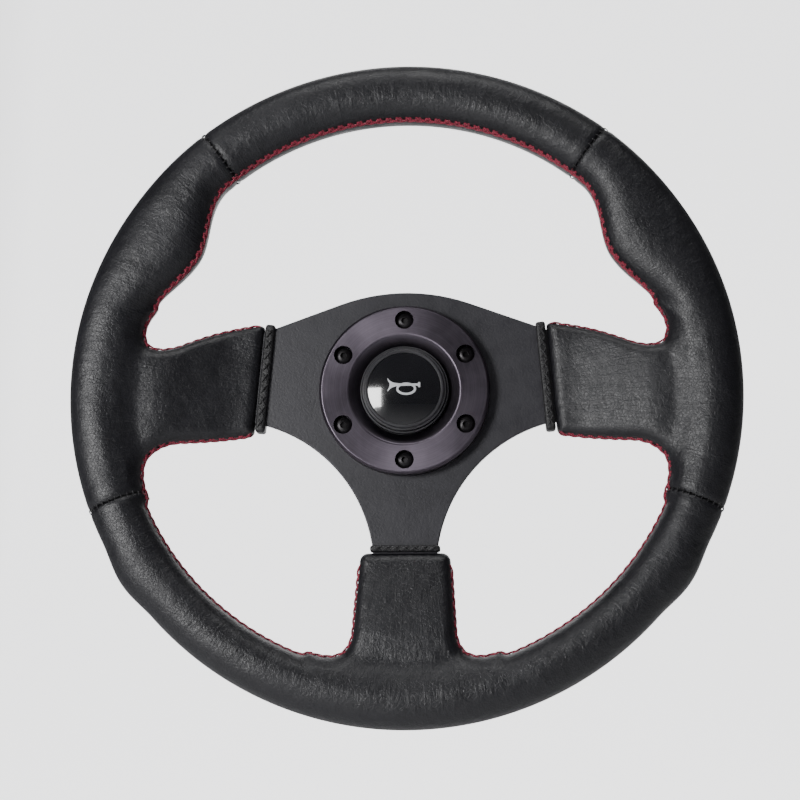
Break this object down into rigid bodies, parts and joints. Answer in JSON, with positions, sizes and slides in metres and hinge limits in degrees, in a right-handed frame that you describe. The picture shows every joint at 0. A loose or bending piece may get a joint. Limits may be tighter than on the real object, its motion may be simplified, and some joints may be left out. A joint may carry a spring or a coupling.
{
  "type": "sport steering wheel with quick release",
  "caption": "Three-spoke leather sport steering wheel with thumb grips, horn button and a ball-lock quick-release hub that lets the wheel slide off its splined spigot.",
  "frame": {"origin": "centre of the column hub's rear mounting face, on the steering axis", "axes": "+Y along the steering axis towards the column, -Y towards the driver; +Z towards 12 o'clock of the wheel; +X towards 3 o'clock as the driver sees it"},
  "size_m": [0.35, 0.079, 0.35],
  "materials": {
    "leather": "fine-grained black leather, low sheen",
    "leather_trim": "black leather strip, laced edge",
    "foam": "moulded integral-skin foam",
    "plate_paint": "satin black powder coat",
    "trim_gunmetal": "gunmetal anodised, satin",
    "black_screw": "black-oxide screw steel",
    "hoop_steel": "bare drawn tube",
    "black_plastic": "black moulded plastic",
    "gloss_black": "gloss black lens",
    "hub_aluminium": "machined, clear anodised",
    "collar_black": "black anodised",
    "spring_steel": "spring wire",
    "ball_steel": "polished bearing steel",
    "contact_brass": "turned brass",
    "insulator": "natural acetal"
  },
  "bodies": {
    "column_hub": {"column_hub": "hub_aluminium", "contact_insulator": "insulator", "contact_ring": "contact_brass"},
    "wheel": {"wheel_adapter": "hub_aluminium", "collar_snap_ring": "spring_steel", "collar_spring": "spring_steel", "contact_bush": "insulator", "contact_spring": "spring_steel", "spoke_plate": "plate_paint", "rim_hoop": "hoop_steel", "rim_foam": "foam", "leather_top": "leather", "leather_left": "leather", "leather_right": "leather", "leather_lower": "leather", "end_band_left": "leather_trim", "end_band_right": "leather_trim", "end_band_lower": "leather_trim", "trim_ring": "trim_gunmetal", "wheel_screws": "black_screw", "horn_housing": "black_plastic", "horn_terminals": "contact_brass", "horn_fixed_contact": "contact_brass", "horn_spring": "spring_steel"},
    "collar": {"release_collar": "collar_black"},
    "horn_button": {"horn_cap": "black_plastic", "horn_emblem": "gloss_black", "horn_moving_contact": "contact_brass"},
    "contact_pin": {"contact_pin": "contact_brass"},
    "lock_ball_1": {"lock_ball_1": "ball_steel"},
    "lock_ball_2": {"lock_ball_2": "ball_steel"},
    "lock_ball_3": {"lock_ball_3": "ball_steel"},
    "lock_ball_4": {"lock_ball_4": "ball_steel"},
    "lock_ball_5": {"lock_ball_5": "ball_steel"},
    "lock_ball_6": {"lock_ball_6": "ball_steel"}
  },
  "joints": [
    {"name": "wheel_pull_off", "type": "slide", "parent": "column_hub", "child": "wheel", "axis": [0, -1, 0], "range_m": [0, 0.04]},
    {"name": "collar_slide", "type": "slide", "parent": "wheel", "child": "collar", "axis": [0, 1, 0], "range_m": [0, 0.006], "stiffness_N_per_m": 2000, "springref_m": 0.012, "deforming": ["collar_spring"]},
    {"name": "horn_press", "type": "slide", "parent": "wheel", "child": "horn_button", "axis": [0, 1, 0], "range_m": [0, 0.0025], "stiffness_N_per_m": 1500, "springref_m": -0.001, "deforming": ["horn_spring"]},
    {"name": "contact_pin_press", "type": "slide", "parent": "wheel", "child": "contact_pin", "axis": [0, -1, 0], "range_m": [0, 0.0015], "stiffness_N_per_m": 400, "springref_m": -0.001, "deforming": ["contact_spring"]},
    {"name": "ball_1_in", "type": "slide", "parent": "wheel", "child": "lock_ball_1", "axis": [0, 0, -1], "range_m": [0, 0.002]},
    {"name": "ball_2_in", "type": "slide", "parent": "wheel", "child": "lock_ball_2", "axis": [-0.866, 0, -0.5], "range_m": [0, 0.002]},
    {"name": "ball_3_in", "type": "slide", "parent": "wheel", "child": "lock_ball_3", "axis": [-0.866, 0, 0.5], "range_m": [0, 0.002]},
    {"name": "ball_4_in", "type": "slide", "parent": "wheel", "child": "lock_ball_4", "axis": [0, 0, 1], "range_m": [0, 0.002]},
    {"name": "ball_5_in", "type": "slide", "parent": "wheel", "child": "lock_ball_5", "axis": [0.866, 0, 0.5], "range_m": [0, 0.002]},
    {"name": "ball_6_in", "type": "slide", "parent": "wheel", "child": "lock_ball_6", "axis": [0.866, 0, -0.5], "range_m": [0, 0.002]}
  ],
  "couplings": [
    {"joint": "ball_1_in", "follows": "collar_slide", "ratio": 0.33333},
    {"joint": "ball_2_in", "follows": "collar_slide", "ratio": 0.33333},
    {"joint": "ball_3_in", "follows": "collar_slide", "ratio": 0.33333},
    {"joint": "ball_4_in", "follows": "collar_slide", "ratio": 0.33333},
    {"joint": "ball_5_in", "follows": "collar_slide", "ratio": 0.33333},
    {"joint": "ball_6_in", "follows": "collar_slide", "ratio": 0.33333}
  ]
}
